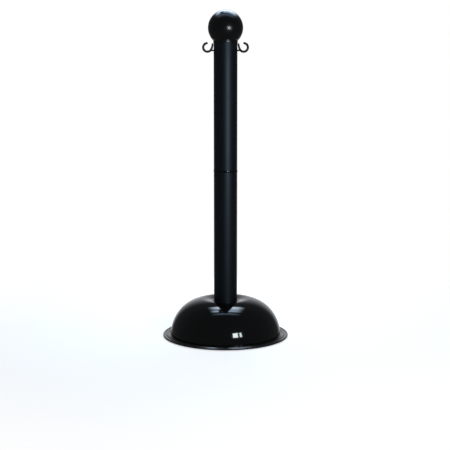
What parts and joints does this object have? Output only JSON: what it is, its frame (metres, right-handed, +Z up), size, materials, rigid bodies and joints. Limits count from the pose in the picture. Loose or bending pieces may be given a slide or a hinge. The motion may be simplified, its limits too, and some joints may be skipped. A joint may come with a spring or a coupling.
{
  "type": "rope barrier stanchion",
  "caption": "Free-standing rope barrier post: domed ballasted base, two-piece round tube post, a rope hook on each side and a ball top.",
  "frame": {"origin": "on the floor, under the post's axis, at the centre of the base", "axes": "+Z up along the post's axis; the two hooks point along +X and -X; +Y points to the back, where the filling plug is"},
  "size_m": [0.4064, 0.4064, 1.0414],
  "materials": {
    "gloss_black": "gloss",
    "satin_black": "satin",
    "hook_black": "satin",
    "dull_black": "matte",
    "zinc": "satin",
    "rubber": "matte",
    "sand": "matte"
  },
  "bodies": {
    "base": {"base_bottom_cover": "dull_black", "base_dome": "gloss_black", "cover_screw_1": "zinc", "cover_screw_2": "zinc", "cover_screw_3": "zinc", "cover_screw_4": "zinc", "cover_screw_5": "zinc", "cover_screw_6": "zinc", "rubber_foot_1": "rubber", "rubber_foot_2": "rubber", "rubber_foot_3": "rubber", "rubber_foot_4": "rubber", "rubber_foot_5": "rubber", "rubber_foot_6": "rubber", "sand_ballast": "sand"},
    "fill_plug": {"ballast_fill_plug": "dull_black", "fill_plug_seal": "rubber"},
    "lower_post": {"lower_post_tube": "satin_black"},
    "coupler": {"post_coupler": "satin_black"},
    "upper_post": {"upper_post_tube": "satin_black", "hook_left": "hook_black", "hook_right": "hook_black"},
    "ball": {"ball_top": "gloss_black"}
  },
  "joints": [
    {"name": "post_lift", "type": "slide", "parent": "base", "child": "lower_post", "axis": [0, 0, 1], "range_m": [0, 0.115]},
    {"name": "post_swivel", "type": "hinge", "parent": "lower_post", "child": "coupler", "pos_m": [0, 0, 0.5363], "axis": [0, 0, 1], "continuous": true},
    {"name": "upper_post_lift", "type": "slide", "parent": "coupler", "child": "upper_post", "axis": [0, 0, 1], "range_m": [0, 0.07]},
    {"name": "ball_lift", "type": "slide", "parent": "upper_post", "child": "ball", "axis": [0, 0, 1], "range_m": [0, 0.05]},
    {"name": "plug_turn", "type": "hinge", "parent": "base", "child": "fill_plug", "pos_m": [0, 0.09927, 0.005], "axis": [0, 0, 1], "range_deg": [0, 90]}
  ]
}
